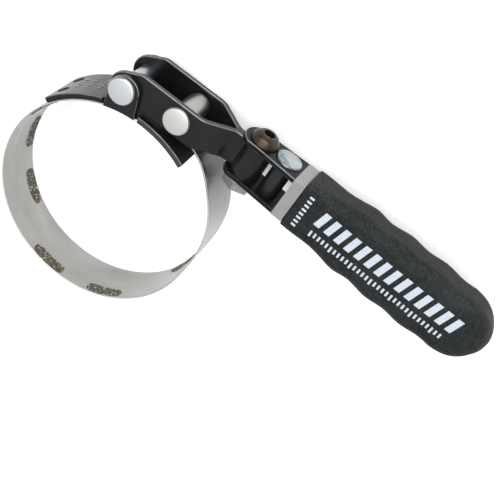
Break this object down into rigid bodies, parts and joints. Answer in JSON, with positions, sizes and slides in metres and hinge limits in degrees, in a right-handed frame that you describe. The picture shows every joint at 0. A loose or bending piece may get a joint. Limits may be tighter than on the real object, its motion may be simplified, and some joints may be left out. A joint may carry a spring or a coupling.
{
  "type": "oil filter wrench",
  "caption": "Band-type filter wrench: a steel strap loop on a riveted saddle and yoke, with a swivelling scalloped grip.",
  "frame": {"origin": "centre of the band loop, on the filter's axis, half way across the band", "axes": "+Z along the filter's axis (up when the wrench lies on its side), +X towards the handle, +Y towards the yoke and the swivel bolt's head"},
  "size_m": [0.2228, 0.1276, 0.033],
  "materials": {
    "black_steel": "satin black paint on pressed steel",
    "band_steel": "bright spring steel strip",
    "zinc_plate": "bright zinc plate",
    "grip_vinyl": "fine grained dark vinyl",
    "grey_collar": "smooth light grey",
    "black_oxide": "dark bronze oxide",
    "bronze": "oiled bearing bronze"
  },
  "bodies": {
    "root": {"handle_frame": "black_steel", "handle_collar": "grey_collar", "grip": "grip_vinyl", "swivel_bolt": "black_oxide", "swivel_nut": "zinc_plate", "nut_washer": "zinc_plate", "friction_washers": "bronze", "fork_rivet": "zinc_plate", "fork_spacer": "black_steel"},
    "yoke_body": {"yoke": "black_steel", "swivel_bushing": "bronze", "band_rivet": "zinc_plate", "rivet_spacer": "zinc_plate"},
    "roller_body": {"band_roller": "zinc_plate"},
    "saddle_body": {"saddle": "black_steel", "saddle_rivet": "zinc_plate", "ear_washers": "zinc_plate", "band_anchor": "band_steel"},
    "link_1": {"band_link_1": "band_steel"},
    "link_2": {"band_link_2": "band_steel"},
    "link_3": {"band_link_3": "band_steel"},
    "link_4": {"band_link_4": "band_steel"},
    "link_5": {"band_link_5": "band_steel"},
    "link_6": {"band_link_6": "band_steel"},
    "tail_1": {"band_tail_1": "band_steel"},
    "tail_2": {"band_tail_2": "band_steel"},
    "tail_3": {"band_tail_3": "band_steel"},
    "eye": {"band_eye": "band_steel"}
  },
  "joints": [
    {"name": "head_swivel", "type": "hinge", "parent": "root", "child": "yoke_body", "pos_m": [0.0465, 0.0616, 0], "axis": [0, 1, 0], "range_deg": [-92.7, 87.3]},
    {"name": "saddle_pivot", "type": "hinge", "parent": "yoke_body", "child": "saddle_body", "pos_m": [-0.0138, 0.0585, 0], "axis": [0, 0, 1], "range_deg": [-45, 0]},
    {"name": "roller_spin", "type": "hinge", "parent": "yoke_body", "child": "roller_body", "pos_m": [0.0121, 0.0613, 0], "axis": [0, 0, 1], "continuous": true},
    {"name": "band_bend_1", "type": "hinge", "parent": "saddle_body", "child": "link_1", "pos_m": [-0.0402, 0.02836, 0], "axis": [0, 0, 1], "range_deg": [0, 6.31]},
    {"name": "band_bend_2", "type": "hinge", "parent": "link_1", "child": "link_2", "pos_m": [-0.0492, 0.00052, 0], "axis": [0, 0, 1], "range_deg": [0, 2.04]},
    {"name": "band_bend_3", "type": "hinge", "parent": "link_2", "child": "link_3", "pos_m": [-0.04079, -0.02751, 0], "axis": [0, 0, 1], "range_deg": [0, 1.53]},
    {"name": "band_bend_4", "type": "hinge", "parent": "link_3", "child": "link_4", "pos_m": [-0.01795, -0.04581, 0], "axis": [0, 0, 1], "range_deg": [0, 1.51]},
    {"name": "band_bend_5", "type": "hinge", "parent": "link_4", "child": "link_5", "pos_m": [0.01124, -0.0479, 0], "axis": [0, 0, 1], "range_deg": [0, 2.78]},
    {"name": "band_bend_6", "type": "hinge", "parent": "link_5", "child": "link_6", "pos_m": [0.03645, -0.03305, 0], "axis": [0, 0, 1], "range_deg": [0, 5.13]},
    {"name": "tail_bend_1", "type": "hinge", "parent": "link_6", "child": "tail_1", "pos_m": [0.04956, -0.00661, 0], "axis": [0, 0, 1], "range_deg": [-6.51, 0]},
    {"name": "tail_bend_2", "type": "hinge", "parent": "tail_1", "child": "tail_2", "pos_m": [0.0508, 0.01453, 0], "axis": [0, 0, 1], "range_deg": [-5.39, 0]},
    {"name": "tail_bend_3", "type": "hinge", "parent": "tail_2", "child": "tail_3", "pos_m": [0.04656, 0.03118, 0], "axis": [0, 0, 1], "range_deg": [-4.63, 0]},
    {"name": "eye_bend", "type": "hinge", "parent": "tail_3", "child": "eye", "pos_m": [0.03505, 0.04621, 0], "axis": [0, 0, 1], "range_deg": [-4.73, 0]}
  ],
  "couplings": [
    {"joint": "band_bend_1", "follows": "saddle_pivot", "ratio": -0.1357},
    {"joint": "band_bend_2", "follows": "saddle_pivot", "ratio": -0.0409},
    {"joint": "band_bend_3", "follows": "saddle_pivot", "ratio": -0.0295},
    {"joint": "band_bend_4", "follows": "saddle_pivot", "ratio": -0.029},
    {"joint": "band_bend_5", "follows": "saddle_pivot", "ratio": -0.0574},
    {"joint": "band_bend_6", "follows": "saddle_pivot", "ratio": -0.1095},
    {"joint": "tail_bend_1", "follows": "saddle_pivot", "ratio": 0.1402},
    {"joint": "tail_bend_2", "follows": "saddle_pivot", "ratio": 0.1154},
    {"joint": "tail_bend_3", "follows": "saddle_pivot", "ratio": 0.0985},
    {"joint": "eye_bend", "follows": "saddle_pivot", "ratio": 0.1006}
  ]
}
